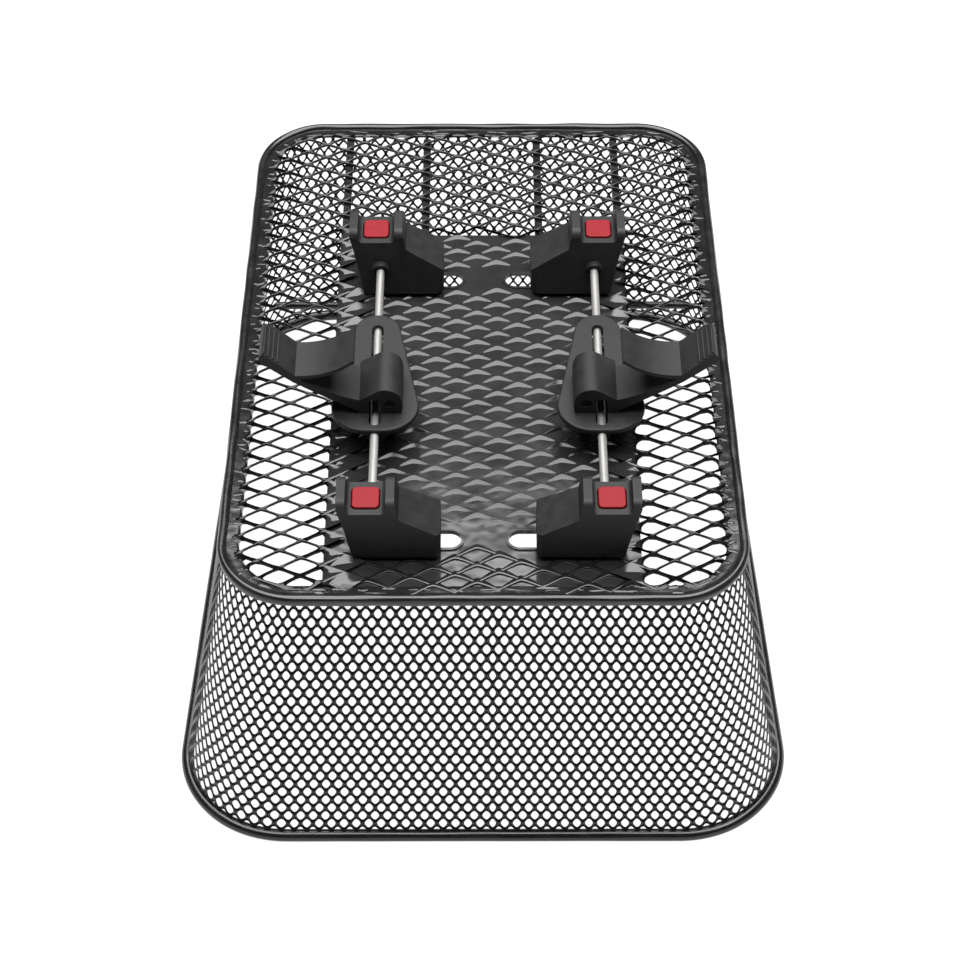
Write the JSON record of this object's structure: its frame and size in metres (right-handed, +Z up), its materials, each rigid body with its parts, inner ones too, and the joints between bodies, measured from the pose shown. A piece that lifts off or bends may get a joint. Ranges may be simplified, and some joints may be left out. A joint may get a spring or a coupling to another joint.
{
  "type": "bicycle rear rack basket",
  "caption": "Inverted wire-mesh basket with a flat mount base carrying sliding clamp blocks, sprung pads and hinged hook levers for a bicycle rack.",
  "frame": {"origin": "centre of the object's box on the floor plane, the basket standing on its rim", "axes": "+Z up from the rim to the mount base, +Y along the basket from the front end to the rear end, +X to the right seen from the front end"},
  "size_m": [0.3422, 0.434, 0.2503],
  "materials": {
    "powder_coat_black": "semi-gloss black powder coat",
    "mesh_black": "semi-gloss black powder coat over expanded metal",
    "plastic_black": "satin moulded black plastic",
    "pad_red": "matt red",
    "steel_bright": "satin stainless steel",
    "steel_zinc": "zinc plated",
    "insert_brass": "plain brass"
  },
  "bodies": {
    "basket": {"rim_tube": "powder_coat_black", "base_wire": "powder_coat_black", "base_band": "powder_coat_black", "left_wall_mesh": "mesh_black", "right_wall_mesh": "mesh_black", "end_bar": "powder_coat_black", "mount_plate": "powder_coat_black", "floor_mesh": "mesh_black", "floor_strip_1": "powder_coat_black", "floor_strip_2": "powder_coat_black", "floor_strip_3": "powder_coat_black", "floor_strip_4": "powder_coat_black"},
    "left_carriage": {"left_front_block": "plastic_black", "left_front_pad_spring": "steel_bright", "left_rear_block": "plastic_black", "left_rear_pad_spring": "steel_bright", "left_rod": "steel_bright", "left_slot_washers": "steel_zinc", "left_clamp_bolts": "steel_zinc", "left_threaded_inserts": "insert_brass"},
    "left_lever": {"left_lever_plate": "plastic_black", "left_hook": "plastic_black", "left_hook_screw": "steel_zinc"},
    "left_front_pad_slider": {"left_front_pad": "pad_red"},
    "left_rear_pad_slider": {"left_rear_pad": "pad_red"},
    "right_carriage": {"right_front_block": "plastic_black", "right_front_pad_spring": "steel_bright", "right_rear_block": "plastic_black", "right_rear_pad_spring": "steel_bright", "right_rod": "steel_bright", "right_slot_washers": "steel_zinc", "right_clamp_bolts": "steel_zinc", "right_threaded_inserts": "insert_brass"},
    "right_lever": {"right_lever_plate": "plastic_black", "right_hook": "plastic_black", "right_hook_screw": "steel_zinc"},
    "right_front_pad_slider": {"right_front_pad": "pad_red"},
    "right_rear_pad_slider": {"right_rear_pad": "pad_red"}
  },
  "joints": [
    {"name": "left_carriage_slide", "type": "slide", "parent": "basket", "child": "left_carriage", "axis": [-1, 0, 0], "range_m": [-0.01, 0.01]},
    {"name": "left_lever_hinge", "type": "hinge", "parent": "left_carriage", "child": "left_lever", "pos_m": [-0.0573, -0.055, 0.2026], "axis": [0, 1, 0], "range_deg": [0, 40]},
    {"name": "left_front_pad_press", "type": "slide", "parent": "left_carriage", "child": "left_front_pad_slider", "axis": [0, 0, 1], "range_m": [-0.003, 0], "stiffness_N_per_m": 1500, "springref_m": 0.001, "deforming": ["left_front_pad_spring"]},
    {"name": "left_rear_pad_press", "type": "slide", "parent": "left_carriage", "child": "left_rear_pad_slider", "axis": [0, 0, 1], "range_m": [-0.003, 0], "stiffness_N_per_m": 1500, "springref_m": 0.001, "deforming": ["left_rear_pad_spring"]},
    {"name": "right_carriage_slide", "type": "slide", "parent": "basket", "child": "right_carriage", "axis": [1, 0, 0], "range_m": [-0.01, 0.01]},
    {"name": "right_lever_hinge", "type": "hinge", "parent": "right_carriage", "child": "right_lever", "pos_m": [0.0629, -0.055, 0.2026], "axis": [0, -1, 0], "range_deg": [0, 40]},
    {"name": "right_front_pad_press", "type": "slide", "parent": "right_carriage", "child": "right_front_pad_slider", "axis": [0, 0, 1], "range_m": [-0.003, 0], "stiffness_N_per_m": 1500, "springref_m": 0.001, "deforming": ["right_front_pad_spring"]},
    {"name": "right_rear_pad_press", "type": "slide", "parent": "right_carriage", "child": "right_rear_pad_slider", "axis": [0, 0, 1], "range_m": [-0.003, 0], "stiffness_N_per_m": 1500, "springref_m": 0.001, "deforming": ["right_rear_pad_spring"]}
  ]
}
